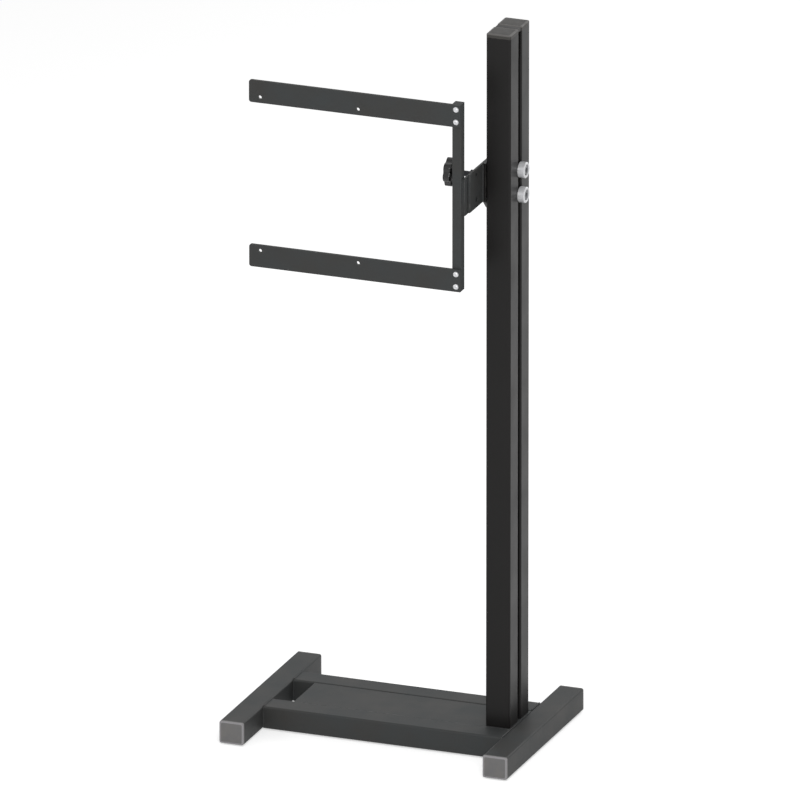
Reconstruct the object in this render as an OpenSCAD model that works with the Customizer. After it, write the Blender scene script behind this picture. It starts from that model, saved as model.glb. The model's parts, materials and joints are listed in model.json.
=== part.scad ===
// Speaker stand with a slotted twin-tube column, a sliding carriage and a tilting speaker frame.
// Lengths are in millimetres. X runs along the base rails, Y runs from front to back, Z is up.
// The origin lies on the floor, in the middle of the base.

/* [Base] */
// Width of the base over the outer sides of both feet
base_w = 590; // [540:5:680]
// Length of each foot tube without its end caps
foot_len = 410; // [380:5:500]
// Depth of the base over the outer faces of the two rails
rail_span = 212; // [212:1:260]
// Opening left between the left foot and the deck plate
deck_open = 45; // [20:1:80]
// Thickness of the deck plate
deck_t = 9; // [6:0.5:12]
// Step from the top of the rails down to the top of the deck plate
deck_drop = 1; // [0.5:0.1:2]
// Thickness of the rubber pads under the feet
pad_t = 3; // [2:0.5:5]
// Width of a rubber pad across its foot
pad_w = 36; // [20:1:38]
// Length of a rubber pad along its foot
pad_len = 48; // [30:1:70]
// Distance from the end of the foot tube to the near edge of its pad
pad_inset = 8; // [4:1:20]

/* [Tube section] */
// Width of the tube section of the feet, rails and uprights
tube_b = 50; // [46:1:54]
// Height of the tube section, which is the depth of an upright
tube_h = 45; // [42:1:46]
// Wall thickness of the tube
tube_wall = 3; // [2:0.2:3.4]
// Outer corner radius of the tube
tube_r = 4; // [3.6:0.2:6]
// Thickness of the visible head of a foot's end cap
cap_t = 5; // [3:0.5:8]
// Length of the spigot of an end cap inside its tube
spigot_len = 22; // [12:1:30]

/* [Column] */
// Length of each upright tube
upright_len = 1396; // [1300:2:1600]
// Thickness of the visible head of an upright's cap
top_cap_t = 8; // [4:0.5:12]
// Width of the slot between the two uprights
slot_w = 14; // [13:0.5:18]
// Gap between the column and the right foot
column_gap = 3.5; // [0.5:0.5:4]
// Height of each spacer block between the two tubes
spacer_h = 50; // [30:1:80]
// How far the spacer blocks stay back from the column faces
spacer_recess = 6; // [2:0.5:12]
// How far the bridge between the heads of the two caps stays back from the column faces
bridge_recess = 1.5; // [1:0.5:12]
// Step from the top of the upright caps down to the bridge
bridge_step = 1; // [0.5:0.5:4]
// Height of the threaded plug at the foot of each upright
plug_h = 30; // [20:1:50]
// Thread diameter of the bolts that hold the column on the deck plate
column_bolt_d = 8; // [6:1:10]
// Distance between the two bolts of one upright
column_bolt_pitch = 22; // [18:1:24]
// Length of a column bolt inside its plug
column_bolt_grip = 20; // [12:1:20]

/* [Carriage] */
// Distance from the top of the uprights down to the middle of the carriage
carriage_drop = 302; // [150:1:900]
// Distance between the two clamp bolts
clamp_pitch = 50; // [44:1:56]
// Thread diameter of the clamp bolts
clamp_bolt_d = 12; // [10:0.5:12]
// Diameter of the head of a clamp bolt
clamp_head_d = 18; // [17:0.5:19]
// Height of the head of a clamp bolt
clamp_head_h = 10; // [6:0.5:10]
// Width across flats of the socket in a clamp bolt
clamp_socket = 10; // [8:1:11]
// Diameter of a clamp washer
clamp_washer_d = 31; // [26:0.5:36]
// Thickness of a clamp washer
clamp_washer_t = 14; // [13:0.5:18]
// Diameter of the recess in a clamp washer
clamp_recess_d = 21; // [20:0.5:23]
// Depth of the recess in a clamp washer
clamp_recess = 10.5; // [8:0.5:11]
// Width across flats of a clamp nut
clamp_nut_af = 19; // [18:0.5:20]
// Thickness of a clamp nut
clamp_nut_t = 10; // [8:0.5:12]
// Thickness of the mount plate
mount_t = 6; // [4:0.5:8]
// Height of the mount plate
mount_h = 94; // [86:1:110]
// Corner cut at the bottom of the mount plate
mount_cut = 16; // [8:1:24]
// Depth of the guide key in the slot
key_depth = 20; // [10:1:40]
// Gap between the guide key and each clamp bolt
key_bolt_gap = 3; // [1:0.5:5]
// Thickness of the bracket plate
bracket_t = 4.5; // [4:0.5:8]
// Height of the bracket plate
bracket_h = 78; // [74:0.5:80]
// Reach of the bracket plate in front of the column
bracket_reach = 70; // [64:1:90]
// Length of the bracket plate that lies on the mount plate
bracket_lap = 34; // [24:1:38]

/* [Tilt joint] */
// Distance from the front of the column to the tilt axis
pivot_reach = 34; // [30:1:44]
// Distance from the tilt axis up to the locking stud
tilt_r = 50; // [44:1:52]
// Distance from the top of the bracket plate down to the locking stud
stud_edge = 12; // [11:0.5:14]
// Diameter of the pivot bolt
pivot_d = 10; // [8:0.5:12]
// Diameter of the pivot washer
pivot_washer_d = 21; // [18:1:24]
// Width across flats of the pivot nut
pivot_nut_af = 17; // [15:0.5:18]
// Thickness of the pivot nut
pivot_nut_t = 8; // [6:0.5:10]
// Thickness of the tilt plate
tilt_t = 4.5; // [4:0.5:8]
// Step from the top of the bracket plate down to the top of the tilt plate
tilt_step = 5; // [0:0.5:5]
// How far the tilt plate reaches below the bracket plate
tilt_drop = 2; // [0:0.5:10]
// Overlap of the tilt plate on the side of the frame bar
tilt_lap = 12; // [8:1:16]
// Length of the tilt plate behind the tilt axis
tilt_tail = 22; // [20:1:28]
// Largest tilt of the frame each way, in degrees
tilt_angle = 12; // [5:1:12]

/* [Locking knob] */
// Diameter of the locking stud
stud_d = 8; // [6:0.5:8]
// Diameter of the knob over its lobes
knob_d = 57; // [48:1:62]
// Thickness of the knob
knob_t = 18; // [14:0.5:24]
// Number of lobes on the knob
knob_lobes = 7; // [5:1:9]
// Diameter of the hollows between the lobes
knob_hollow_d = 16; // [12:0.5:18]
// Depth of the hollows between the lobes
knob_hollow = 3.5; // [3:0.5:6]
// Length of the spacer sleeve between the knob and its washer
sleeve_len = 29; // [20:0.5:32]
// Outer diameter of the spacer sleeve
sleeve_d = 11; // [10:0.5:16]
// Diameter of the knob washer
knob_washer_d = 18; // [16:0.5:24]
// Thickness of the knob washer and the pivot washer
thin_washer_t = 2; // [1:0.5:3]
// Diameter of the metal cap in the middle of the knob
knob_cap_d = 14; // [12:0.5:18]
// How far the metal cap stands out of the knob
knob_cap_rise = 2.5; // [1:0.5:4]
// How deep the metal cap is let into the knob
knob_cap_seat = 3; // [2:0.5:4]

/* [Speaker frame] */
// Side of the square frame bar
bar_s = 18; // [16:0.5:22]
// Distance from the tilt axis to the back of the frame bar
bar_reach = 41; // [36:0.5:46]
// Height of the middle of the frame above the middle of the carriage
frame_rise = 5.5; // [0:0.5:12]
// Length of each arm
arm_len = 431; // [400:1:480]
// Height of each arm
arm_h = 45; // [40:1:50]
// Thickness of each arm
arm_t = 5; // [4:0.5:8]
// Corner radius at the free end of each arm
arm_r = 5; // [2:0.5:8]
// Distance between the middles of the two arms
arm_pitch = 332; // [330:1:360]
// Distance between the two speaker holes of one arm
hole_pitch_x = 200; // [120:5:220]
// Distance between the hole rows of the two arms
hole_pitch_z = 310; // [300:1:320]
// Diameter of a speaker hole
hole_d = 7; // [5:0.5:9]
// Distance from the free end of an arm to its first speaker hole
hole_end = 22.5; // [15:0.5:40]
// Thread diameter of the screws that hold the arms on the bar
arm_screw_d = 6; // [5:0.5:6]
// Diameter of the domed head of an arm screw
arm_screw_head_d = 11; // [9:0.5:12]
// Height of the domed head of an arm screw
arm_screw_head_h = 3.3; // [2.5:0.1:4]
// Distance between the two screws of one arm
arm_screw_pitch = 25; // [20:1:28]
// Depth of the threaded holes in the frame bar
arm_screw_grip = 13; // [8:0.5:13]

/* [Clearances] */
// Gap between faces that slide or swing past each other
slide_gap = 0.3; // [0.2:0.05:0.5]
// Gap all round a plug or spigot in its tube
plug_gap = 0.2; // [0.1:0.05:0.3]
// Extra diameter of a bolt hole over its bolt
bolt_gap = 1; // [0.5:0.1:1.4]
// Extra diameter of a turning bore or a threaded hole over its pin
fit_gap = 0.1; // [0.06:0.02:0.16]
// Extra width of the arc slot over the locking stud
arc_gap = 1; // [0.6:0.1:1.6]

/* [Hidden] */

$fn = 64;

// Overrun of every cut past the face that it opens
cut = 1;
// Height of the head and thickness of the washer of a column bolt
column_head_h = 8;
column_washer_t = 1.6;
// Diameters of the head and the washer of a column bolt
column_head_d = 13;
column_washer_d = 17;
// Depth and width across flats of the sockets in the column bolts and the arm screws
column_socket = 6;
column_socket_depth = 4;
arm_socket = 4;
arm_socket_depth = 2;
// Depth of the socket in a clamp bolt
clamp_socket_depth = 6;
// Threaded end that stands out past a nut
thread_proud = 3;
// Height of the boss of the knob over its lobes, and its diameter
boss_h = 3;
boss_d = 24;
// Corner radius of the plates
plate_r = 4;

// Heights of the base
foot_z = pad_t;
rail_top = foot_z + tube_h;
deck_top = rail_top - deck_drop;
deck_bottom = deck_top - deck_t;

// Places of the base along X and Y
foot_x = (base_w - tube_b) / 2;
inner_x = base_w / 2 - tube_b;
rail_y = (rail_span - tube_b) / 2;
deck_w = rail_span - 2 * tube_b;
deck_x0 = -inner_x + deck_open;
pad_y = foot_len / 2 - pad_inset - pad_len / 2;

// Places of the column
column_right = inner_x - column_gap;
column_left = column_right - tube_b;
column_x = (column_left + column_right) / 2;
column_d = 2 * tube_h + slot_w;
upright_y = (slot_w + tube_h) / 2;
column_top = deck_top + upright_len;

// Places of the carriage, from the column outwards
carriage_z = column_top - carriage_drop;
mount_x = column_left - mount_t;
mount_top = carriage_z + mount_h / 2;
bracket_x = mount_x - bracket_t;
bracket_front = -column_d / 2 - bracket_reach;
bracket_back = -column_d / 2 + bracket_lap;
bracket_bottom = mount_top - bracket_h;
key_h = clamp_pitch - clamp_bolt_d - 2 * key_bolt_gap;

// Places of the tilt joint and the speaker frame
pivot_y = -column_d / 2 - pivot_reach;
stud_z = mount_top - stud_edge;
pivot_z = stud_z - tilt_r;
tilt_x = bracket_x - slide_gap - tilt_t;
tilt_h = bracket_h + tilt_drop - tilt_step;
tilt_bottom = bracket_bottom - tilt_drop;
bar_x = tilt_x - bar_s;
bar_back = pivot_y - bar_reach;
bar_front = bar_back - bar_s;
arm_front = bar_front - arm_t;
frame_z = carriage_z + frame_rise;
frame_h = arm_pitch + arm_h;
arm_x = tilt_x - arm_len;

// Places along the locking stud, from the tilt plate to the left
washer_x = tilt_x - slide_gap - thin_washer_t;
sleeve_x = washer_x - sleeve_len;
knob_x = sleeve_x - slide_gap - knob_t;
stud_end = knob_x + knob_cap_seat + thin_washer_t;

// Rectangle with rounded corners, centred, drawn with true arcs
module rounded_rect(w, h, r) {
  square([w - 2 * r, h], center = true);
  square([w, h - 2 * r], center = true);
  for (sx = [-1, 1], sy = [-1, 1])
    translate([sx * (w / 2 - r), sy * (h / 2 - r)]) circle(r);
}

// Section of the tube, with its width along X
module tube_section() {
  difference() {
    rounded_rect(tube_b, tube_h, tube_r);
    rounded_rect(tube_b - 2 * tube_wall, tube_h - 2 * tube_wall, tube_r - tube_wall);
  }
}

// Insert that fills the tube's bore, standing on the floor of its own frame
module tube_insert(len) {
  linear_extrude(len)
    rounded_rect(tube_b - 2 * (tube_wall + plug_gap), tube_h - 2 * (tube_wall + plug_gap),
                 tube_r - tube_wall);
}

// End cap with its head up and its spigot down, seated on the plane Z = 0
module end_cap(head_t) {
  linear_extrude(head_t) rounded_rect(tube_b, tube_h, tube_r);
  translate([0, 0, -spigot_len]) tube_insert(spigot_len);
}

// Hexagonal prism of a width across flats, standing on Z = 0
module hex_prism(af, h) {
  cylinder(h = h, d = af / cos(30), $fn = 6);
}

// Socket bolt with its shank up along Z, and its head below the plane Z = 0
module socket_bolt(d, shank, head_d, head_h, socket, socket_depth) {
  difference() {
    union() {
      cylinder(h = shank, d = d);
      translate([0, 0, -head_h]) cylinder(h = head_h, d = head_d);
    }
    translate([0, 0, -head_h - cut]) hex_prism(socket, socket_depth + cut);
  }
}

// Flat ring standing on Z = 0
module ring(outer, inner, h) {
  difference() {
    cylinder(h = h, d = outer);
    translate([0, 0, -cut]) cylinder(h = h + 2 * cut, d = inner);
  }
}

// Turns children that point up so that they point along +X
module along_x() {
  rotate([0, 90, 0]) children();
}

// Foot tube on the side sx, with its length along Y
module foot(sx) {
  color("#3d3b3b")
    translate([sx * foot_x, foot_len / 2, foot_z + tube_h / 2])
      rotate([90, 0, 0]) linear_extrude(foot_len) tube_section();
}

module left_foot() { foot(-1); }
module right_foot() { foot(1); }

// Rail tube on the side sy, lying flat between the feet
module rail(sy) {
  color("#434242")
    translate([-inner_x, sy * rail_y, foot_z + tube_h / 2])
      rotate([90, 0, 90]) linear_extrude(2 * inner_x) tube_section();
}

module front_rail() { rail(-1); }
module back_rail() { rail(1); }

// Places of the four bolts that hold the column
module column_bolt_places() {
  for (sx = [-1, 1], sy = [-1, 1])
    translate([column_x + sx * column_bolt_pitch / 2, sy * upright_y, 0]) children();
}

module deck_plate() {
  color("#3f4040") difference() {
    translate([deck_x0, -deck_w / 2, deck_bottom]) cube([inner_x - deck_x0, deck_w, deck_t]);
    column_bolt_places()
      translate([0, 0, deck_bottom - cut])
        cylinder(h = deck_t + 2 * cut, d = column_bolt_d + bolt_gap);
  }
}

// Cap on the end sy of the foot on the side sx
module foot_cap(sx, sy) {
  color("#8a8a8a")
    translate([sx * foot_x, sy * foot_len / 2, foot_z + tube_h / 2])
      rotate([-sy * 90, 0, 0]) end_cap(cap_t);
}

module left_front_cap() { foot_cap(-1, -1); }
module left_back_cap() { foot_cap(-1, 1); }
module right_front_cap() { foot_cap(1, -1); }
module right_back_cap() { foot_cap(1, 1); }

// Rubber pad under the end sy of the foot on the side sx
module foot_pad(sx, sy) {
  color("#1c1c1c")
    translate([sx * foot_x, sy * pad_y, 0])
      linear_extrude(pad_t) rounded_rect(pad_w, pad_len, plate_r);
}

module left_front_pad() { foot_pad(-1, -1); }
module left_back_pad() { foot_pad(-1, 1); }
module right_front_pad() { foot_pad(1, -1); }
module right_back_pad() { foot_pad(1, 1); }

// Upright tube on the side sy, standing on the deck plate
module upright(sy) {
  color("#2f2e2e")
    translate([column_x, sy * upright_y, deck_top]) linear_extrude(upright_len) tube_section();
}

module front_upright() { upright(-1); }
module back_upright() { upright(1); }

// Cap on top of the upright on the side sy
module upright_cap(sy) {
  color("#4a4a4a") translate([column_x, sy * upright_y, column_top]) end_cap(top_cap_t);
}

module front_upright_cap() { upright_cap(-1); }
module back_upright_cap() { upright_cap(1); }

// Threaded plug inside the foot of the upright on the side sy
module upright_plug(sy) {
  color("#9a9a9a") difference() {
    translate([column_x, sy * upright_y, deck_top]) tube_insert(plug_h);
    column_bolt_places()
      translate([0, 0, deck_top - cut]) cylinder(h = plug_h + 2 * cut, d = column_bolt_d + fit_gap);
  }
}

module front_upright_plug() { upright_plug(-1); }
module back_upright_plug() { upright_plug(1); }

// Block that fills the slot from height z, and stays back from the column faces
module slot_block(z, h, recess) {
  translate([column_left + recess, -slot_w / 2, z]) cube([tube_b - 2 * recess, slot_w, h]);
}

module bottom_spacer() {
  color("#2f2e2e") slot_block(deck_top, spacer_h, spacer_recess);
}

// Spacer with a bridge on top, which closes the slot between the heads of the two caps
module top_spacer() {
  color("#2f2e2e") {
    slot_block(column_top - spacer_h, spacer_h, spacer_recess);
    slot_block(column_top, top_cap_t - bridge_step, bridge_recess);
  }
}

module column_bolts() {
  color("silver") column_bolt_places()
    translate([0, 0, deck_bottom - column_washer_t])
      socket_bolt(column_bolt_d, column_washer_t + deck_t + column_bolt_grip,
                  column_head_d, column_head_h, column_socket, column_socket_depth);
}

module column_washers() {
  color("silver") column_bolt_places()
    translate([0, 0, deck_bottom - column_washer_t])
      ring(column_washer_d, column_bolt_d + fit_gap, column_washer_t);
}

// Heights of the two clamp bolts, in the middle of the slot
module clamp_places() {
  for (s = [-1, 1])
    translate([0, 0, carriage_z + s * clamp_pitch / 2]) children();
}

// Outline of the mount plate in its own plane: depth along X, height along Y
module mount_outline() {
  polygon([
    [-column_d / 2, mount_h / 2],
    [-column_d / 2, -mount_h / 2 + mount_cut],
    [-column_d / 2 + mount_cut, -mount_h / 2],
    [column_d / 2 - mount_cut, -mount_h / 2],
    [column_d / 2, -mount_h / 2 + mount_cut],
    [column_d / 2, mount_h / 2]
  ]);
}

module mount_plate() {
  color("#2b2b2b") difference() {
    translate([mount_x, 0, carriage_z]) rotate([90, 0, 90]) linear_extrude(mount_t) mount_outline();
    clamp_places()
      translate([mount_x - cut, 0, 0]) along_x()
        cylinder(h = mount_t + 2 * cut, d = clamp_bolt_d + bolt_gap);
  }
}

module guide_key() {
  color("#2b2b2b")
    translate([column_left, -slot_w / 2 + slide_gap, carriage_z - key_h / 2])
      cube([key_depth, slot_w - 2 * slide_gap, key_h]);
}

module bracket_plate() {
  color("#3a3a3a") difference() {
    translate([bracket_x, bracket_front, bracket_bottom])
      cube([bracket_t, bracket_back - bracket_front, bracket_h]);
    translate([bracket_x - cut, pivot_y, pivot_z]) along_x()
      cylinder(h = bracket_t + 2 * cut, d = pivot_d);
    translate([bracket_x - cut, pivot_y, stud_z]) along_x()
      cylinder(h = bracket_t + 2 * cut, d = stud_d);
  }
}

module clamp_bolts() {
  color("#3c3c3c") clamp_places()
    translate([column_right + clamp_washer_t - clamp_recess, 0, 0]) rotate([0, -90, 0])
      socket_bolt(clamp_bolt_d,
                  clamp_washer_t - clamp_recess + tube_b + mount_t + clamp_nut_t + thread_proud,
                  clamp_head_d, clamp_head_h, clamp_socket, clamp_socket_depth);
}

module clamp_washers() {
  color("silver") clamp_places()
    translate([column_right, 0, 0]) along_x() difference() {
      ring(clamp_washer_d, clamp_bolt_d + bolt_gap, clamp_washer_t);
      translate([0, 0, clamp_washer_t - clamp_recess])
        cylinder(h = clamp_recess + cut, d = clamp_recess_d);
    }
}

// Hexagonal nut with its bore along X, its left face at the origin
module nut(af, bore, t) {
  along_x() difference() {
    hex_prism(af, t);
    translate([0, 0, -cut]) cylinder(h = t + 2 * cut, d = bore);
  }
}

module clamp_nuts() {
  color("silver") clamp_places()
    translate([mount_x - clamp_nut_t, 0, 0]) nut(clamp_nut_af, clamp_bolt_d + fit_gap, clamp_nut_t);
}

module pivot_bolt() {
  color("silver")
    translate([washer_x - pivot_nut_t - thread_proud, pivot_y, pivot_z]) along_x()
      cylinder(h = mount_x - washer_x + pivot_nut_t + thread_proud, d = pivot_d);
}

module pivot_washer() {
  color("silver")
    translate([washer_x, pivot_y, pivot_z]) along_x()
      ring(pivot_washer_d, pivot_d + fit_gap, thin_washer_t);
}

module pivot_nut() {
  color("silver")
    translate([washer_x - pivot_nut_t, pivot_y, pivot_z])
      nut(pivot_nut_af, pivot_d + fit_gap, pivot_nut_t);
}

module lock_stud() {
  color("silver")
    translate([stud_end, pivot_y, stud_z]) along_x() cylinder(h = mount_x - stud_end, d = stud_d);
}

module knob_sleeve() {
  color("silver")
    translate([sleeve_x, pivot_y, stud_z]) along_x() ring(sleeve_d, stud_d + fit_gap, sleeve_len);
}

module knob_washer() {
  color("silver")
    translate([washer_x, pivot_y, stud_z]) along_x()
      ring(knob_washer_d, stud_d + fit_gap, thin_washer_t);
}

// Outline of the knob: a disc with hollows between its lobes
module knob_outline() {
  difference() {
    circle(d = knob_d);
    for (i = [0 : knob_lobes - 1])
      rotate(i * 360 / knob_lobes)
        translate([knob_d / 2 - knob_hollow + knob_hollow_d / 2, 0]) circle(d = knob_hollow_d);
  }
}

module lock_knob() {
  color("#1b1b1b") translate([knob_x, pivot_y, stud_z]) along_x() difference() {
    union() {
      linear_extrude(knob_t - boss_h) knob_outline();
      cylinder(h = knob_t, d = boss_d);
    }
    translate([0, 0, knob_cap_seat + cut]) cylinder(h = knob_t, d = stud_d + fit_gap);
    translate([0, 0, -cut]) cylinder(h = knob_cap_seat + cut, d = knob_cap_d + fit_gap);
  }
}

module knob_cap() {
  color("silver") translate([knob_x, pivot_y, stud_z]) rotate([0, -90, 0])
    translate([0, 0, -knob_cap_seat])
      cylinder(h = knob_cap_seat + knob_cap_rise, d = knob_cap_d);
}

// Outline of the tilt plate in its own plane: depth along X, height along Y
module tilt_outline() {
  plate_d = pivot_y + tilt_tail - (bar_back - tilt_lap);
  translate([bar_back - tilt_lap + plate_d / 2, tilt_bottom + tilt_h / 2])
    rounded_rect(plate_d, tilt_h, plate_r);
}

// Arc slot for the locking stud, as a ring sector with round ends
module arc_slot() {
  w = stud_d + arc_gap;
  intersection() {
    difference() {
      circle(tilt_r + w / 2);
      circle(tilt_r - w / 2);
    }
    polygon([
      [0, 0],
      [-2 * tilt_r * sin(tilt_angle), 2 * tilt_r * cos(tilt_angle)],
      [2 * tilt_r * sin(tilt_angle), 2 * tilt_r * cos(tilt_angle)]
    ]);
  }
  for (s = [-1, 1])
    rotate(s * tilt_angle) translate([0, tilt_r]) circle(d = w);
}

module tilt_plate() {
  color("#3a3a3a") translate([tilt_x, 0, 0]) rotate([90, 0, 90]) linear_extrude(tilt_t)
    difference() {
      tilt_outline();
      translate([pivot_y, pivot_z]) circle(d = pivot_d + fit_gap);
      translate([pivot_y, pivot_z]) arc_slot();
    }
}

// Places of the four arm screws on the front of the frame
module arm_screw_places(y) {
  for (sa = [-1, 1], sb = [-1, 1])
    translate([bar_x + bar_s / 2, y, frame_z + sa * arm_pitch / 2 + sb * arm_screw_pitch / 2])
      rotate([-90, 0, 0]) children();
}

module frame_bar() {
  color("#343536") difference() {
    translate([bar_x, bar_front, frame_z - frame_h / 2]) cube([bar_s, bar_s, frame_h]);
    arm_screw_places(bar_front)
      translate([0, 0, -cut]) cylinder(h = arm_screw_grip + cut, d = arm_screw_d + fit_gap);
  }
}

// Outline of an arm: square at the bar, with rounded corners at the free end
module arm_outline() {
  translate([arm_len / 2, 0]) rounded_rect(arm_len, arm_h, arm_r);
  translate([arm_len / 2, -arm_h / 2]) square([arm_len / 2, arm_h]);
}

// Arm on the side s of the frame, with its two speaker holes and its two screw holes
module arm(s) {
  color("#41413f") difference() {
    translate([arm_x, bar_front, frame_z + s * arm_pitch / 2])
      rotate([90, 0, 0]) linear_extrude(arm_t) arm_outline();
    for (x = [hole_end, hole_end + hole_pitch_x])
      translate([arm_x + x, arm_front - cut, frame_z + s * hole_pitch_z / 2]) rotate([-90, 0, 0])
        cylinder(h = arm_t + 2 * cut, d = hole_d);
    arm_screw_places(arm_front)
      translate([0, 0, -cut]) cylinder(h = arm_t + 2 * cut, d = arm_screw_d + fit_gap);
  }
}

module upper_arm() { arm(1); }
module lower_arm() { arm(-1); }

// Radius of the sphere whose cap is a domed screw head
function dome_r(d, h) = (d * d / 4 + h * h) / (2 * h);

module arm_screws() {
  r = dome_r(arm_screw_head_d, arm_screw_head_h);
  color("silver") arm_screw_places(arm_front) difference() {
    union() {
      cylinder(h = arm_t + arm_screw_grip - cut, d = arm_screw_d);
      intersection() {
        translate([0, 0, r - arm_screw_head_h]) sphere(r);
        translate([0, 0, -arm_screw_head_h]) cylinder(h = arm_screw_head_h, d = arm_screw_head_d);
      }
    }
    translate([0, 0, -arm_screw_head_h - cut]) hex_prism(arm_socket, arm_socket_depth + cut);
  }
}

left_foot();
right_foot();
front_rail();
back_rail();
deck_plate();
left_front_cap();
left_back_cap();
right_front_cap();
right_back_cap();
left_front_pad();
left_back_pad();
right_front_pad();
right_back_pad();
front_upright();
back_upright();
front_upright_cap();
back_upright_cap();
front_upright_plug();
back_upright_plug();
bottom_spacer();
top_spacer();
column_bolts();
column_washers();
mount_plate();
guide_key();
bracket_plate();
clamp_bolts();
clamp_washers();
clamp_nuts();
pivot_bolt();
pivot_washer();
pivot_nut();
lock_stud();
knob_sleeve();
knob_washer();
lock_knob();
knob_cap();
tilt_plate();
frame_bar();
upper_arm();
lower_arm();
arm_screws();
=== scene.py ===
# %% [markdown]
# A speaker stand. A base of rectangular steel tube carries a column of two uprights, a carriage is
# clamped in the slot between them, and a C-shaped frame hangs on the carriage and holds the speaker.
# The construction is already exact, so it is loaded as a fixed frame first. Everything made below takes
# its place and size from the boxes of these nodes, which keeps the looks and the construction together.

# %% Load the frame
import json
import math

import bmesh
import bpy
from mathutils import Matrix, Vector

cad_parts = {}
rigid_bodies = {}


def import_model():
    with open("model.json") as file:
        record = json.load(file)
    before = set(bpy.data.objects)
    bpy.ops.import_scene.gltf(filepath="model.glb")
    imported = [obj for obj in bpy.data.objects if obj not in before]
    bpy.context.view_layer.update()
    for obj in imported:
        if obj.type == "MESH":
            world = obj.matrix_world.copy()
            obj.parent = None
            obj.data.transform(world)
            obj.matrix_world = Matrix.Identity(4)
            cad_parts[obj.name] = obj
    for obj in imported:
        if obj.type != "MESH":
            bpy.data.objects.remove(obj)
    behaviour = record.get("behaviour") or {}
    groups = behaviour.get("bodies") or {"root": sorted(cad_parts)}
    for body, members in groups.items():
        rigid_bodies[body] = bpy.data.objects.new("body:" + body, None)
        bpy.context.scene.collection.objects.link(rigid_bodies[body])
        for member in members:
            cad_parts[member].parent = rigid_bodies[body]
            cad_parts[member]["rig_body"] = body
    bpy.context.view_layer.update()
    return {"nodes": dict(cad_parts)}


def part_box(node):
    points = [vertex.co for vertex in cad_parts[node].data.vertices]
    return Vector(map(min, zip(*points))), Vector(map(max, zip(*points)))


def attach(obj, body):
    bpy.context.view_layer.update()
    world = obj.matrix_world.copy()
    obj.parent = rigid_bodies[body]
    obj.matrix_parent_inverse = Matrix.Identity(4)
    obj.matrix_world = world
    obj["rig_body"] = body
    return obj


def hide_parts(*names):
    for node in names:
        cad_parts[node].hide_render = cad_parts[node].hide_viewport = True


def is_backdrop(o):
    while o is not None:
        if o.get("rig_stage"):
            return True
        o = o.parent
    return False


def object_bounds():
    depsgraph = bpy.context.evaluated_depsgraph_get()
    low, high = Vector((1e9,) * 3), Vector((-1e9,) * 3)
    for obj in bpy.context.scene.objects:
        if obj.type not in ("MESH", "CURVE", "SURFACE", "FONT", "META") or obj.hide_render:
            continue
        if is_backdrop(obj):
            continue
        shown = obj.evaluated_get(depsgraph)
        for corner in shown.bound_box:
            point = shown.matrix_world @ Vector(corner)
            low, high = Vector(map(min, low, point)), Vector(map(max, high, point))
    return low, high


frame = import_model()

nodes = frame["nodes"]
MM = 0.001

# %% [markdown]
# The photograph was taken from far away with a long lens, so lines that run together stay almost
# parallel. A camera at a great distance with a very long lens gives the same look. Its aim follows from
# three things read from the photograph: how large a millimetre is, where the middle of the base stands,
# and from which side and height the stand is seen.

# %% Camera
PICTURE_PX = 800
PX_PER_MM = 0.5204
BASE_U_PX, BASE_V_PX = 401.7, 727.76
TURN, TILT = math.radians(20.846), math.radians(19.575)
LENS_MM, SENSOR_MM = 1500, 36

across = Vector((math.cos(TURN), math.sin(TURN), 0))
look = Vector((-math.sin(TURN) * math.cos(TILT), math.cos(TURN) * math.cos(TILT), -math.sin(TILT)))
up = across.cross(look)
middle_px = PICTURE_PX / 2
aim = (across * (middle_px - BASE_U_PX) + up * (BASE_V_PX - middle_px)) / PX_PER_MM * MM
distance = PICTURE_PX / PX_PER_MM * MM * LENS_MM / SENSOR_MM

camera_data = bpy.data.cameras.new("camera")
camera_data.lens = LENS_MM
camera_data.sensor_width = SENSOR_MM
camera_data.clip_end = 2 * distance
camera = bpy.data.objects.new("camera", camera_data)
camera.location = aim - look * distance
camera.rotation_euler = look.to_track_quat("-Z", "Y").to_euler()
bpy.context.scene.collection.objects.link(camera)
bpy.context.scene.camera = camera
print("camera", round(distance, 1), "m away, aimed at", [round(v, 3) for v in aim])

# %% [markdown]
# Colours are picked as sRGB hex values, the way a colour picker shows them, but shaders work in linear
# light. One function turns one into the other, with a short straight toe and then a power curve.

# %% Colour helper
TOE_END, TOE_SLOPE, CURVE_SHIFT, CURVE_POWER = 0.04045, 12.92, 0.055, 2.4


def linear(hex_code):
    """An sRGB hex colour as linear red, green, blue and alpha."""
    channels = [int(hex_code[i:i + 2], 16) / 255 for i in (1, 3, 5)]
    return [c / TOE_SLOPE if c <= TOE_END else ((c + CURVE_SHIFT) / (1 + CURVE_SHIFT)) ** CURVE_POWER
            for c in channels] + [1.0]


print("mid grey is", round(linear("#808080")[0], 3), "in linear light")

# %% [markdown]
# A material is a small tree of nodes. One function adds a node to it, sets it up and links it, so that
# each material below reads as a short list of what its surface is made of.

# %% Node helpers
def add(tree, kind, settings=None, inputs=None):
    """Adds a node; an input is a value, or the socket of another node that feeds it."""
    node = tree.nodes.new("ShaderNode" + kind)
    for name, value in (settings or {}).items():
        setattr(node, name, value)
    for name, value in (inputs or {}).items():
        if isinstance(value, bpy.types.NodeSocket):
            tree.links.new(value, node.inputs[name])
        else:
            node.inputs[name].default_value = value
    return node


def new_material(name):
    """An empty material with its node tree."""
    material = bpy.data.materials.new(name)
    material.use_nodes = True
    material.node_tree.nodes.clear()
    return material, material.node_tree


print("ready to add nodes")

# %% [markdown]
# The stage is a plain pale floor that runs out of the picture, under an evenly lit white room. What the
# camera and the reflections see is white, while the light that falls on the stand is lower, so that the
# dark paint keeps its depth. One small group of nodes tells the two apart.

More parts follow.
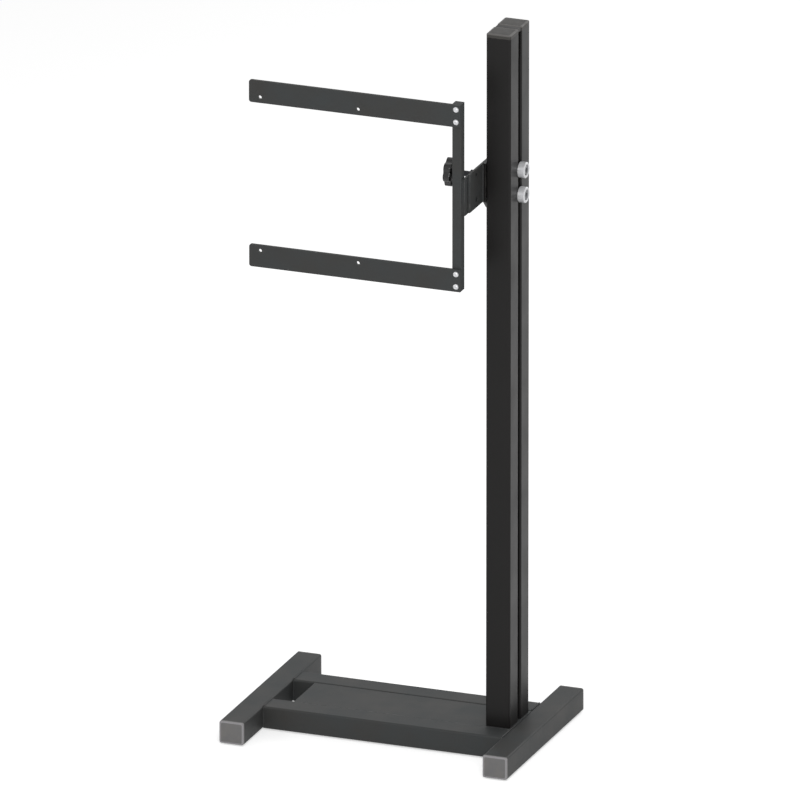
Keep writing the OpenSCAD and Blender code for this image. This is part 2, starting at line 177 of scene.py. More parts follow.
# %% What is seen, and what lights
def seen_directly(tree):
    """1 for the camera and for what metal and glass show, 0 for the light that falls on things."""
    rays = add(tree, "LightPath")
    total = add(tree, "Math", {"operation": "ADD"},
                {0: rays.outputs["Is Camera Ray"], 1: rays.outputs["Is Glossy Ray"]})
    total = add(tree, "Math", {"operation": "ADD", "use_clamp": True},
                {0: total.outputs[0], 1: rays.outputs["Is Transmission Ray"]})
    return total.outputs[0]


print("the camera and reflections see the room as white")

# %% [markdown]
# The floor is a real, shaded surface with some white added for the camera. It hides the shading far
# away and keeps a soft shadow under the base. It lies a hair below the pads, so they don't flicker.

# %% Floor
FLOOR_RADIUS = 9.0
FLOOR_POINTS = 96
FLOOR_SINK = 0.2 * MM
FLOOR_GLOW = 0.52

floor_mesh = bmesh.new()
bmesh.ops.create_circle(floor_mesh, cap_ends=True, segments=FLOOR_POINTS, radius=FLOOR_RADIUS,
                        matrix=Matrix.Translation((0, 0, -FLOOR_SINK)))
floor_data = bpy.data.meshes.new("floor")
floor_mesh.to_mesh(floor_data)
floor_mesh.free()
floor = bpy.data.objects.new("floor", floor_data)
bpy.context.scene.collection.objects.link(floor)
floor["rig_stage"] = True

floor_paint, tree = new_material("matt white studio floor")
matt = add(tree, "BsdfDiffuse", {}, {"Color": linear("#e8e8e8")})
glow = add(tree, "Emission", {}, {"Color": linear("#ffffff")})
strength = add(tree, "Math", {"operation": "MULTIPLY"}, {0: seen_directly(tree), 1: FLOOR_GLOW})
tree.links.new(strength.outputs[0], glow.inputs["Strength"])
both = add(tree, "AddShader", {}, {0: matt.outputs[0], 1: glow.outputs[0]})
add(tree, "OutputMaterial", {}, {"Surface": both.outputs[0]})
floor_data.materials.append(floor_paint)
print("floor", 2 * FLOOR_RADIUS, "m across")

# %% [markdown]
# The room is the world around the stand: full white to look at, and less than half of it as light.

# %% Room
ROOM_LIGHT = 0.42

world = bpy.data.worlds.new("white room")
world.use_nodes = True
tree = world.node_tree
tree.nodes.clear()
level = add(tree, "MapRange", {}, {"Value": seen_directly(tree), "To Min": ROOM_LIGHT, "To Max": 1.0})
room = add(tree, "Background", {}, {"Color": linear("#ffffff"), "Strength": level.outputs[0]})
add(tree, "OutputWorld", {}, {"Surface": room.outputs[0]})
bpy.context.scene.world = world
bpy.context.scene.view_settings.view_transform = "Standard"
print("room light", ROOM_LIGHT)

# %% [markdown]
# Large lamps give soft edges to the shadows. The main one stands in front and above, a little to the
# right, because the top and right edges of the pale end caps are the brightest. Its power follows from
# its distance: the light on a facing surface is the power over pi times the distance squared, and a
# surface returns one pi-th of it, so a share of full brightness is asked for directly.

# %% Lamps
def soft_lamp(name, place, target, size, share):
    """A square lamp that lights a facing surface at the target to a share of full brightness."""
    data = bpy.data.lights.new(name, "AREA")
    data.size = size
    way = Vector(target) - Vector(place)
    data.energy = share * (math.pi * way.length) ** 2
    lamp = bpy.data.objects.new(name, data)
    lamp.location = place
    lamp.rotation_euler = way.to_track_quat("-Z", "Y").to_euler()
    bpy.context.scene.collection.objects.link(lamp)
    print(name, round(data.energy), "W")


soft_lamp("main_lamp", (1.7, -4.2, 3.0), (0, 0, 0.6), 2.4, 0.50)
soft_lamp("side_lamp", (-3.6, -1.6, 2.2), (0, 0, 0.7), 1.8, 0.16)
soft_lamp("back_lamp", (1.2, 4.0, 3.0), (0, 0, 0.7), 2.4, 0.20)

# %% [markdown]
# Every finish below ends in the same way, whatever it is made of. No real surface shines evenly, so a
# cloudy noise with a grain of a real size makes it a little more glossy here and duller there, and a
# finer noise lifts it into a faint relief. The noise is fixed to the piece and moves along with it.

# %% How a finish ends
NOISE_LOW, NOISE_HIGH = 0.3, 0.7
BUMP_STRENGTH = 0.5


def add_noise(tree, grain, detail):
    """Cloudy noise with a grain of a given size, fixed to the piece."""
    place = add(tree, "TexCoord").outputs["Object"]
    return add(tree, "TexNoise", {}, {"Vector": place, "Scale": 1 / grain, "Detail": detail}).outputs[0]


def add_shades(tree, share, low, high):
    """A mix of two colours, each a hex value or the socket of a node."""
    low, high = (linear(shade) if isinstance(shade, str) else shade for shade in (low, high))
    return add(tree, "Mix", {"data_type": "RGBA"}, {0: share, 6: low, 7: high}).outputs[2]


def add_surface(tree, colour, patches, relief, depth, roughness, spread, specular, metallic=0.0):
    """The shader, with a gloss that follows the patches and a relief of a given depth."""
    gloss = add(tree, "MapRange", {}, {"Value": patches, "From Min": NOISE_LOW, "From Max": NOISE_HIGH,
                                       "To Min": roughness - spread, "To Max": roughness + spread})
    bump = add(tree, "Bump", {}, {"Height": relief, "Strength": BUMP_STRENGTH, "Distance": depth})
    shader = add(tree, "BsdfPrincipled", {}, {
        "Base Color": colour, "Roughness": gloss.outputs[0], "Metallic": metallic,
        "Specular IOR Level": specular, "Normal": bump.outputs[0]})
    add(tree, "OutputMaterial", {}, {"Surface": shader.outputs[0]})


print("gloss follows the noise between", NOISE_LOW, "and", NOISE_HIGH)

# %% [markdown]
# Most of the stand is powder-coated steel: polyester powder is sprayed on, then melted in an oven. It
# comes out with a faint ripple like the skin of an orange, it is a little uneven in gloss, and it wears
# through on the edges first. The ripple is finer than a pixel here, so it is drawn coarser than life.
# The uprights have a darker and smoother coat than the rest, as the photograph shows.

# %% Powder coat
RIPPLE = 5 * MM
BLOTCH = 70 * MM
SCUFF = 9 * MM
CHIPS_LOW, CHIPS_HIGH = 0.42, 0.62
COAT_SPREAD = 0.05


def powder_coat(name, dark, pale, worn, roughness, specular, ripple_depth):
    """Oven-cured polyester powder on steel: rippled, uneven in gloss, worn along its edges."""
    material, tree = new_material(name)
    ripple, blotch = add_noise(tree, RIPPLE, 3.0), add_noise(tree, BLOTCH, 4.0)
    edge = add(tree, "Attribute", {"attribute_name": "edge_wear_and_highlight"})
    chips = add(tree, "MapRange", {}, {"Value": add_noise(tree, SCUFF, 5.0),
                                       "From Min": CHIPS_LOW, "From Max": CHIPS_HIGH})
    wear = add(tree, "Math", {"operation": "MULTIPLY", "use_clamp": True},
               {0: edge.outputs["Fac"], 1: chips.outputs[0]})
    colour = add_shades(tree, wear.outputs[0], add_shades(tree, blotch, dark, pale), worn)
    add_surface(tree, colour, blotch, ripple, ripple_depth, roughness, COAT_SPREAD, specular)
    return material


frame_coat = powder_coat("charcoal powder coat, textured", "#34312e", "#363b3d", "#6a6a68",
                         roughness=0.55, specular=0.22, ripple_depth=0.10 * MM)
column_coat = powder_coat("black powder coat, smooth", "#141312", "#171616", "#504d4a",
                          roughness=0.36, specular=0.18, ripple_depth=0.05 * MM)
print(frame_coat.name, "and", column_coat.name)

# %% [markdown]
# The small parts are plastic, rubber and plated steel. Moulded polyethylene caps are matt, with a fine
# spark-eroded grain from the mould, and their rims are painted lighter, a painted highlight with some
# scuffing.
# Rubber is darker and rougher. The knob is a glossy phenolic one.
# Bright zinc is a thin plating: a clean metal with a cold tint and cloudy patches of different gloss.
# Black oxide is a stain on the steel itself, so the metal still shows through it.

# %% Plastic, rubber and plated steel
PATCH_GRAINS = 4


def grained(name, low, high, roughness, specular, grain, depth, metallic=0.0, spread=0.05,
            rim_highlight_and_scuff=None):
    """A surface of two near shades, with its grain and gloss, and an optional lighter rim shade: a
    painted highlight with some scuffing on marked edges.
    """
    material, tree = new_material(name)
    patches, fine = add_noise(tree, PATCH_GRAINS * grain, 4.0), add_noise(tree, grain, 3.0)
    colour = add_shades(tree, patches, low, high)
    # Painted highlight: the marked edge faces are mixed towards the lighter rim shade, which stands for
    # the light a rounded rim catches, with some scuffing.
    if rim_highlight_and_scuff:
        edge = add(tree, "Attribute", {"attribute_name": "edge_wear_and_highlight"})
        colour = add_shades(tree, edge.outputs["Fac"], colour, rim_highlight_and_scuff)
    add_surface(tree, colour, patches, fine, depth, roughness, spread, specular, metallic)
    return material


# The caps' rims get a lighter shade, a painted highlight along the rim with some scuffing.
grey_plastic = grained("grey polyethylene, moulded", "#5f6062", "#706d6a", rim_highlight_and_scuff="#8c8a8c",
                       roughness=0.5, specular=0.4, grain=3 * MM, depth=0.04 * MM)
black_plastic = grained("black polyethylene, moulded", "#2a2826", "#33312e", rim_highlight_and_scuff="#5a5856",
                        roughness=0.5, specular=0.4, grain=3 * MM, depth=0.04 * MM)
rubber = grained("black rubber, moulded", "#191919", "#222120",
                 roughness=0.8, specular=0.3, grain=1.0 * MM, depth=0.06 * MM)
phenolic = grained("black phenolic, polished", "#0e0e0e", "#141414",
                   roughness=0.22, specular=0.5, grain=4.0 * MM, depth=0.02 * MM)
zinc = grained("bright zinc on steel", "#c9cacd", "#dbdbdc",
               roughness=0.38, specular=0.5, grain=1.2 * MM, depth=0.02 * MM, metallic=0.35)
dull_zinc = grained("zinc on steel, dulled by use", "#7c7d80", "#8e8f90",
                    roughness=0.45, specular=0.5, grain=1.2 * MM, depth=0.02 * MM, metallic=0.5)
black_oxide = grained("black oxide on steel", "#2b2c2f", "#38393b",
                      roughness=0.38, specular=0.5, grain=1.2 * MM, depth=0.02 * MM, metallic=0.85)
sawn_steel = grained("mild steel, sawn", "#7d7f82", "#95979a",
                     roughness=0.45, specular=0.5, grain=0.8 * MM, depth=0.05 * MM, metallic=1.0)
print(len(bpy.data.materials), "materials")

# %% [markdown]
# Every new piece ends the same way. It becomes a mesh with its material, flat faces stay flat and
# rounded edges shade smoothly, and it rides with the body of the construction node it is made like,
# which is looked up and never typed twice. When it stands for that node, the node is hidden.

# %% Turning a bmesh into a piece
SMOOTH_ANGLE = math.radians(42)
MERGED = 0.002 * MM


def make_piece(name, bm, material, like, stands_for=True):
    """Makes the piece, which moves with one node and may stand for it."""
    data = bpy.data.meshes.new(name)
    bm.to_mesh(data)
    bm.free()
    data.materials.append(material)
    data.shade_smooth()
    data.set_sharp_from_angle(angle=SMOOTH_ANGLE)
    piece = bpy.data.objects.new(name, data)
    bpy.context.scene.collection.objects.link(piece)
    flat = piece.modifiers.new("flat faces stay flat", "WEIGHTED_NORMAL")
    flat.keep_sharp = True
    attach(piece, nodes[like]["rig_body"])
    if stands_for:
        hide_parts(like)
    return piece


def close_up(bm):
    """Merges what coincides and turns every face outwards."""
    bmesh.ops.remove_doubles(bm, verts=bm.verts, dist=MERGED)
    bmesh.ops.recalc_face_normals(bm, faces=bm.faces)


# %% [markdown]
# A sawn and drilled steel part has no knife edges: it is deburred, and the powder rounds its corners
# further. The shape of each steel node is right, only too crisp. So a copy of its mesh is cleaned, its
# sharp edges are found by the angle between their faces, and they are bevelled. The new narrow faces
# are marked in an attribute, which the powder coat reads to know where paint wears off.

# %% Steel parts with rounded edges
FLAT_ANGLE = math.radians(1)
SHARP_ANGLE = math.radians(40)
CAD_MERGED = 0.02 * MM
EDGE_SEGMENTS = 2


def rounded_steel(node, radius, material):
    """A copy of a node with its sharp edges rounded and marked as worn."""
    bm = bmesh.new()
    bm.from_mesh(nodes[node].data)
    worn = bm.faces.layers.float.new("edge_wear_and_highlight")
    bmesh.ops.remove_doubles(bm, verts=bm.verts, dist=CAD_MERGED)
    bmesh.ops.dissolve_limit(bm, angle_limit=FLAT_ANGLE, verts=bm.verts, edges=bm.edges)
    sharp = [edge for edge in bm.edges
             if len(edge.link_faces) == 2 and edge.calc_face_angle() > SHARP_ANGLE]
    rounded = bmesh.ops.bevel(bm, geom=sharp, offset=radius, offset_type="OFFSET",
                              segments=EDGE_SEGMENTS, profile=0.5, affect="EDGES", clamp_overlap=True,
                              material=-1)
    for face in rounded["faces"]:
        face[worn] = 1.0
    return make_piece(node + "_finished", bm, material, node)


TUBE_EDGE = 0.5 * MM
PLATE_EDGE = 0.8 * MM
for node in ("left_foot", "right_foot", "front_rail", "back_rail"):
    rounded_steel(node, TUBE_EDGE, frame_coat)
for node in ("front_upright", "back_upright"):
    rounded_steel(node, TUBE_EDGE, column_coat)
for node in ("bottom_spacer", "top_spacer", "mount_plate", "guide_key"):
    rounded_steel(node, PLATE_EDGE, column_coat)
for node in ("deck_plate", "bracket_plate", "tilt_plate", "frame_bar", "upper_arm", "lower_arm"):
    rounded_steel(node, PLATE_EDGE, frame_coat)
for node in ("left_front_pad", "left_back_pad", "right_front_pad", "right_back_pad"):
    rounded_steel(node, PLATE_EDGE, rubber)

# %% [markdown]
# The ends of the tubes are closed by moulded caps: a head with rounded corners and a soft rim that
# covers the wall of the tube, and a spigot that grips inside. A cube is enough to start with. Its four
# upright edges are bevelled to the corner radius of the tube, the rim gets its own small bevel, and the
# face grows in steps, each one smaller and a little higher, into the low dome of a moulded face.

# %% Caps on the tube ends
CORNER, CORNER_SEGMENTS, RIM_SEGMENTS = 4.0 * MM, 6, 4
GRIP_WALL = 3.2 * MM
DOME_STEPS = [(0.9, 0.6), (0.7, 0.3), (0.5, 0.1)]
FOOT_RIM, FOOT_DOME = 1.2 * MM, 0.6 * MM
TOP_RIM, TOP_DOME = 1.8 * MM, 0.5 * MM


def moulded_cap(node, tube, outward, rim, dome, material):
    """A cap on the end of a tube, with its head pointing outward."""
    outward = Vector(outward)
    low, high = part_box(node)
    tube_low, tube_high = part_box(tube)
    size = high - low
    width, height = (size.x, size.z) if outward.y else (size.x, size.y)
    end = max(tube_low.dot(outward), tube_high.dot(outward))
    head = max(low.dot(outward), high.dot(outward)) - end
    grip = abs(size.dot(outward)) - head
    bm = bmesh.new()
    worn = bm.faces.layers.float.new("edge_wear_and_highlight")
    bmesh.ops.create_cube(bm, size=1)
    bmesh.ops.scale(bm, vec=(width, height, head - dome), verts=bm.verts)
    bmesh.ops.translate(bm, vec=(0, 0, (head - dome) / 2), verts=bm.verts)
    corners = [edge for edge in bm.edges
               if abs(edge.verts[0].co.z - edge.verts[1].co.z) > (head - dome) / 2]
    bmesh.ops.bevel(bm, geom=corners, offset=CORNER, segments=CORNER_SEGMENTS, profile=0.5,
                    affect="EDGES", clamp_overlap=True, material=-1)
    face = max(bm.faces, key=lambda f: f.calc_center_median().z)
    rounded = bmesh.ops.bevel(bm, geom=list(face.edges), offset=rim, segments=RIM_SEGMENTS,
                              profile=0.5, affect="EDGES", clamp_overlap=True, material=-1)
    # The rim bevel is marked for the cap's material, which paints it lighter: a painted highlight on the
    # rim, with some scuffing.
    for part in rounded["faces"]:
        part[worn] = 1.0
    face = max(bm.faces, key=lambda f: f.calc_center_median().z)
    for share, lift in DOME_STEPS:
        grown = bmesh.ops.extrude_face_region(bm, geom=[face])["geom"]
        bmesh.ops.delete(bm, geom=[face], context="FACES_ONLY")
        face = next(part for part in grown if isinstance(part, bmesh.types.BMFace))
        bmesh.ops.scale(bm, vec=(share, share, 1), verts=face.verts)
        bmesh.ops.translate(bm, vec=(0, 0, lift * dome), verts=face.verts)
    back = min(bm.faces, key=lambda f: f.calc_center_median().z)
    bmesh.ops.inset_region(bm, faces=[back], thickness=GRIP_WALL, depth=0)
    spigot = bmesh.ops.extrude_face_region(bm, geom=[back])["geom"]
    bmesh.ops.delete(bm, geom=[back], context="FACES_ONLY")
    tip = [part for part in spigot if isinstance(part, bmesh.types.BMVert)]
    bmesh.ops.translate(bm, vec=(0, 0, -grip), verts=tip)
    close_up(bm)
    turn = Vector((0, 0, 1)).rotation_difference(outward).to_matrix().to_4x4()
    centre = (low + high) / 2
    seat = centre + outward * (end - centre.dot(outward))
    bmesh.ops.transform(bm, matrix=Matrix.Translation(seat) @ turn, verts=bm.verts)
    return make_piece(node + "_moulded", bm, material, node)


for side in ("left", "right"):
    for end, outward in (("front", (0, -1, 0)), ("back", (0, 1, 0))):
        moulded_cap("%s_%s_cap" % (side, end), side + "_foot", outward,
                    FOOT_RIM, FOOT_DOME, grey_plastic)
for side in ("front", "back"):
    moulded_cap(side + "_upright_cap", side + "_upright", (0, 0, 1), TOP_RIM, TOP_DOME, black_plastic)

# %% [markdown]
# Washers, sleeves and the cap of the knob come off a lathe. A lathe is a spin: half the section is drawn
# as a line of points, each with its distance along the axis and its radius, and turned full circle. All
# these parts lie along X. The numbers are millimetres, and the chamfers are what the light picks up.

# %% Turned parts
ROUND_STEPS = 64


def turned(bm, section, place, closed=True):
    """Spins a section of (along, radius) points about X, and moves it to its place."""
    corners = [bm.verts.new((along * MM, radius * MM, 0)) for along, radius in section]
    first = 0 if closed else 1
    sides = [bm.edges.new((corners[i - 1], corners[i])) for i in range(first, len(corners))]
    before = set(bm.verts) - set(corners)
    bmesh.ops.spin(bm, geom=corners + sides, cent=(0, 0, 0), axis=(1, 0, 0), dvec=(0, 0, 0),
                   angle=math.tau, steps=ROUND_STEPS, use_merge=True)
    bmesh.ops.translate(bm, vec=place, verts=[v for v in bm.verts if v not in before])


def pair_heights(node):
    """Heights of the lower and the upper one of two round parts in one node."""
    low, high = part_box(node)
    radius = (high.y - low.y) / 2
    return low.z + radius, high.z - radius


def axis_point(node, x, z=None):
    """A point on the axis of a round part that lies along X."""
    low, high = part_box(node)
    return Vector((x, (low.y + high.y) / 2, (low.z + high.z) / 2 if z is None else z))


print("a turned part has", ROUND_STEPS, "facets round its axis")

# %% [markdown]
# The two clamp washers are thick discs of zinc-plated steel. A recess takes the head of the bolt nearly
# to its full height, which is why only a ring with a dark middle shows from the right.

# %% Clamp washers
BORE_R, RECESS_R, WASHER_R = 6.5, 10.5, 15.5
RECESS_FLOOR, WASHER_T = 3.5, 14
BACK_CHAMFER, FACE_CHAMFER, RECESS_CHAMFER = 0.5, 1.2, 0.8
WASHER_SECTION = [
    (0, BORE_R), (0, WASHER_R - BACK_CHAMFER), (BACK_CHAMFER, WASHER_R),
    (WASHER_T - FACE_CHAMFER, WASHER_R), (WASHER_T, WASHER_R - FACE_CHAMFER),
    (WASHER_T, RECESS_R + RECESS_CHAMFER), (WASHER_T - RECESS_CHAMFER, RECESS_R),
    (RECESS_FLOOR, RECESS_R), (RECESS_FLOOR, BORE_R)]
bm = bmesh.new()
for height in pair_heights("clamp_washers"):
    turned(bm, WASHER_SECTION, axis_point("clamp_washers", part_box("clamp_washers")[0].x, height))
close_up(bm)
make_piece("clamp_washers_turned", bm, zinc, "clamp_washers")

# %% [markdown]
# The plain washers and the sleeve behind the knob differ only in bore, chamfer and finish, so one
# function turns them all. Their length and width come from the boxes of their nodes.

# %% Plain washers and the sleeve
M8_BORE, M10_BORE = 8.1, 10.1
WASHER_CHAMFER, SLEEVE_CHAMFER = 0.3, 0.8


def plain_ring(node, bore_d, chamfer, material):
    """A washer or sleeve with chamfered rims, as long and as wide as its node."""
    low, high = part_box(node)
    length, outer, bore = (high.x - low.x) / MM, (high.y - low.y) / 2 / MM, bore_d / 2
    section = [(0, bore), (0, outer - chamfer), (chamfer, outer), (length - chamfer, outer),
               (length, outer - chamfer), (length, bore)]
    bm = bmesh.new()
    turned(bm, section, axis_point(node, low.x))
    close_up(bm)
    return make_piece(node + "_turned", bm, material, node)


plain_ring("knob_washer", M8_BORE, WASHER_CHAMFER, black_oxide)
plain_ring("pivot_washer", M10_BORE, WASHER_CHAMFER, zinc)
plain_ring("knob_sleeve", M8_BORE, SLEEVE_CHAMFER, black_oxide)

# %% [markdown]
# A pressed metal cap closes the middle of the knob. Its section is half a flat dome, given as shares of
# its radius, and it starts on the axis, so the section is an open line this time.

# %% Cap of the knob
cap_low, cap_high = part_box("knob_cap")
cap_len, cap_r = (cap_high.x - cap_low.x) / MM, (cap_high.y - cap_low.y) / 2 / MM
CAP_DOME = [(0, 0), (0.12, 0.35), (0.45, 0.7), (1.1, 0.93), (2.2, 1)]
bm = bmesh.new()
turned(bm, [(along, share * cap_r) for along, share in CAP_DOME] + [(cap_len, cap_r), (cap_len, 0)],
       axis_point("knob_cap", cap_low.x), closed=False)
close_up(bm)
make_piece("knob_cap_turned", bm, zinc, "knob_cap")

# %% [markdown]
# Nuts, screw heads and the lobed knob aren't round all the way up: the outline changes row by row,
# from a hexagon to a circle, or from a smooth neck to a knurled head. They are built like a stack of
# rings. One ring of points is extruded from row to row, and each row gives the height and the radius,
# as a number or as a function of the angle round the axis.

# %% Stacked rings
RING_POINTS = 96


def value_at(size, angle):
    """A size that is a number, or a function of the angle."""
    return size(angle) if callable(size) else size


def stacked(bm, rows, matrix, points=RING_POINTS, tube=False):
    """Extrudes a ring through rows of (height, radius) in mm; a tube joins its last row to the first."""
    old = set(bm.verts)
    ring = bmesh.ops.create_circle(bm, segments=points, radius=1)["verts"]
    ring_edges = list({edge for vert in ring for edge in vert.link_edges})
    first_edges = ring_edges
    for number, (height, radius) in enumerate(rows):
        if number:
            grown = bmesh.ops.extrude_edge_only(bm, edges=ring_edges)["geom"]
            ring = [part for part in grown if isinstance(part, bmesh.types.BMVert)]
            inside = set(ring)
            ring_edges = [part for part in grown if isinstance(part, bmesh.types.BMEdge)
                          and part.verts[0] in inside and part.verts[1] in inside]
        for vert in ring:
            angle = math.atan2(vert.co.y, vert.co.x)
            reach = value_at(radius, angle) * MM
            vert.co = (reach * math.cos(angle), reach * math.sin(angle), value_at(height, angle) * MM)
    if tube:
        bmesh.ops.bridge_loops(bm, edges=first_edges + ring_edges)
    else:
        bmesh.ops.holes_fill(bm, edges=first_edges + ring_edges, sides=0)
    bmesh.ops.transform(bm, matrix=matrix, verts=[v for v in bm.verts if v not in old])


SIXTH = math.pi / 3


def hexagon(across_flats):
    """Radius of a hexagon at an angle."""
    return lambda angle: across_flats / 2 / math.cos((angle + SIXTH / 2) % SIXTH - SIXTH / 2)


def knurl(radius, depth):
    """Radius of a knurled rim: every second point is cut back."""
    return lambda angle: radius - depth * (round(angle / math.tau * RING_POINTS) % 2)


TO_RIGHT = Matrix.Rotation(math.pi / 2, 4, "Y")
TO_FRONT = Matrix.Rotation(math.pi / 2, 4, "X")
print("a 10 mm hexagon is", round(hexagon(10)(SIXTH / 2) * 2, 2), "mm over its corners")

# %% [markdown]
# A hexagon nut has its corners turned off at 30 degrees, so that the chamfer reaches deepest at each
# corner and leaves a round face. That curve comes by itself when the height of the chamfer row follows
# the radius of the hexagon.

# %% Nuts
CHAMFER_SLOPE = math.tan(math.radians(30))
FACE_STEP, BORE_CHAMFER = 0.3, 0.4
M12_FLATS, M10_FLATS = 19, 17
M12_BORE = 12.1


def add_nut(bm, across_flats, thickness, bore_d, matrix):
    """A nut that stands on its left face, with both faces chamfered."""
    outline = hexagon(across_flats)
    face, bore, mouth = across_flats / 2 - FACE_STEP, bore_d / 2, bore_d / 2 + BORE_CHAMFER

    def drop(angle):
        return (outline(angle) - face) * CHAMFER_SLOPE

    rows = [(BORE_CHAMFER, bore), (0, mouth), (0, face), (drop, outline),
            (lambda angle: thickness - drop(angle), outline), (thickness, face), (thickness, mouth),
            (thickness - BORE_CHAMFER, bore)]
    stacked(bm, rows, matrix, tube=True)


bm = bmesh.new()
low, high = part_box("clamp_nuts")
for height in pair_heights("clamp_bolts"):
    add_nut(bm, M12_FLATS, (high.x - low.x) / MM, M12_BORE,
            Matrix.Translation(axis_point("clamp_nuts", low.x, height)) @ TO_RIGHT)
close_up(bm)
make_piece("clamp_nuts_cut", bm, zinc, "clamp_nuts")

bm = bmesh.new()
low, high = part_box("pivot_nut")
add_nut(bm, M10_FLATS, (high.x - low.x) / MM, M10_BORE,
        Matrix.Translation(axis_point("pivot_nut", low.x)) @ TO_RIGHT)
close_up(bm)
make_piece("pivot_nut_cut", bm, zinc, "pivot_nut")

# %% [markdown]
# The ends of the bolts show beyond their nuts, so they get a real thread. A thread is one groove that
# winds round, so it is spun with a climb: after a full turn each point has moved up one pitch and lands
# on its neighbour. Two flat cuts then trim the ends.

# %% Real threads
THREAD_STEPS = 32
THREAD_DEPTH = 0.6
CUT_TOLERANCE = 0.0001 * MM


def add_thread(bm, radius, pitch, length, matrix):
    """A helical thread along Z from 0 to a length, in mm, closed at both ends."""
    old = set(bm.verts)
    depth = THREAD_DEPTH * pitch
    turns = math.ceil(length / pitch) + 2
    points = [bm.verts.new(((radius - depth * (i % 2)) * MM, 0, (i / 2 - 1) * pitch * MM))
              for i in range(2 * turns + 1)]
    lines = [bm.edges.new((points[i - 1], points[i])) for i in range(1, len(points))]
    bmesh.ops.spin(bm, geom=points + lines, cent=(0, 0, 0), axis=(0, 0, 1), angle=math.tau,
                   dvec=(0, 0, pitch * MM / THREAD_STEPS), steps=THREAD_STEPS, use_merge=False)
    bmesh.ops.remove_doubles(bm, verts=[v for v in bm.verts if v not in old], dist=MERGED)
    for height, above in ((0, False), (length, True)):
        mine = [v for v in bm.verts if v not in old]
        edges = {edge for vert in mine for edge in vert.link_edges}
        faces = {face for vert in mine for face in vert.link_faces}
        bmesh.ops.bisect_plane(bm, geom=mine + list(edges) + list(faces), dist=CUT_TOLERANCE,
                               plane_co=(0, 0, height * MM), plane_no=(0, 0, 1),
                               clear_outer=above, clear_inner=not above)
    mine = [v for v in bm.verts if v not in old]
    rims = {edge for vert in mine for edge in vert.link_edges if edge.is_boundary}
    bmesh.ops.holes_fill(bm, edges=list(rims), sides=0)
    bmesh.ops.transform(bm, matrix=matrix, verts=mine)


print("a turn of thread has", THREAD_STEPS, "steps")

# %% [markdown]
# The clamp bolts are socket head screws: a head with a straight knurl for the fingers and a deep hexagon
# socket. The head is a stack of rings from the socket outwards and back to the neck, and the shank ends
# inside the mount plate, where the thread takes over. Tools and hands have dulled their zinc.

# %% Clamp bolts
SHANK_R, HEAD_R, HEAD_H, SOCKET = 6, 9, 10, 10
SOCKET_DEPTH, SOCKET_MOUTH, SOCKET_LIP = 6, 1.2, 0.3
HEAD_CHAMFER, KNURL_DEPTH, KNURL_SHOULDER = 1.2, 0.35, 0.4
KNURL_RAMP, NECK_FILLET = 0.3, 0.6
M12_PITCH, M10_PITCH = 1.75, 1.5


def add_cap_screw(bm, shank_len, matrix):
    """A socket head screw with its head towards +Z and its neck on Z = 0."""
    hole, side, shoulder = hexagon(SOCKET), knurl(HEAD_R, KNURL_DEPTH), HEAD_R - KNURL_SHOULDER
    rows = [(HEAD_H - SOCKET_DEPTH, hole), (HEAD_H - SOCKET_LIP, hole),
            (HEAD_H, SOCKET / 2 + SOCKET_MOUTH), (HEAD_H, HEAD_R - HEAD_CHAMFER),
            (HEAD_H - HEAD_CHAMFER + KNURL_RAMP, shoulder), (HEAD_H - HEAD_CHAMFER, side),
            (2 * KNURL_SHOULDER, side), (2 * KNURL_SHOULDER - KNURL_RAMP, shoulder),
            (0, HEAD_R - 2 * KNURL_SHOULDER), (0, SHANK_R + NECK_FILLET), (-NECK_FILLET, SHANK_R),
            (-shank_len, SHANK_R)]
    stacked(bm, rows, matrix)


bolt_low, bolt_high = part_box("clamp_bolts")
plate_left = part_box("mount_plate")[0].x
neck_x = bolt_high.x - HEAD_H * MM
bm = bmesh.new()
for height in pair_heights("clamp_bolts"):
    add_cap_screw(bm, (neck_x - plate_left) / MM,
                  Matrix.Translation(axis_point("clamp_bolts", neck_x, height)) @ TO_RIGHT)
    add_thread(bm, SHANK_R, M12_PITCH, (plate_left - bolt_low.x) / MM,
               Matrix.Translation(axis_point("clamp_bolts", bolt_low.x, height)) @ TO_RIGHT)
bmesh.ops.recalc_face_normals(bm, faces=bm.faces)
make_piece("clamp_bolts_cut", bm, dull_zinc, "clamp_bolts")

# %% [markdown]
# The frame tilts on the pivot bolt. It is welded into the bracket plate, so it has no head: a plain pin
# under the plate, then the same kind of thread out to the nut. It is stained black.

# %% Pivot bolt
PIN_CHAMFER = 0.5
pin_low, pin_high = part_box("pivot_bolt")
washer_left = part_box("pivot_washer")[0].x
pin_r = (pin_high.y - pin_low.y) / 2 / MM
plain_mm = (pin_high.x - washer_left) / MM
bm = bmesh.new()
stacked(bm, [(0, pin_r), (plain_mm - PIN_CHAMFER, pin_r), (plain_mm, pin_r - PIN_CHAMFER)],
        Matrix.Translation(axis_point("pivot_bolt", washer_left)) @ TO_RIGHT)
add_thread(bm, pin_r, M10_PITCH, (washer_left - pin_low.x) / MM,
           Matrix.Translation(axis_point("pivot_bolt", pin_low.x)) @ TO_RIGHT)
bmesh.ops.recalc_face_normals(bm, faces=bm.faces)
make_piece("pivot_bolt_cut", bm, black_oxide, "pivot_bolt")

# %% [markdown]
# The arms are held by button head screws, low domes with a small hexagon socket. The rows of the dome
# follow a sphere, so the highlight sits on it as one clean spot, which is what shows at this distance.

# %% Arm screws
DOME_ROWS, BUTTON_POINTS = 7, 48
BUTTON_SOCKET, BUTTON_SHANK_R = 4, 3
BUTTON_DEPTH, BUTTON_MOUTH, BUTTON_LIP, BUTTON_CHAMFER = 2.2, 0.9, 0.25, 0.3


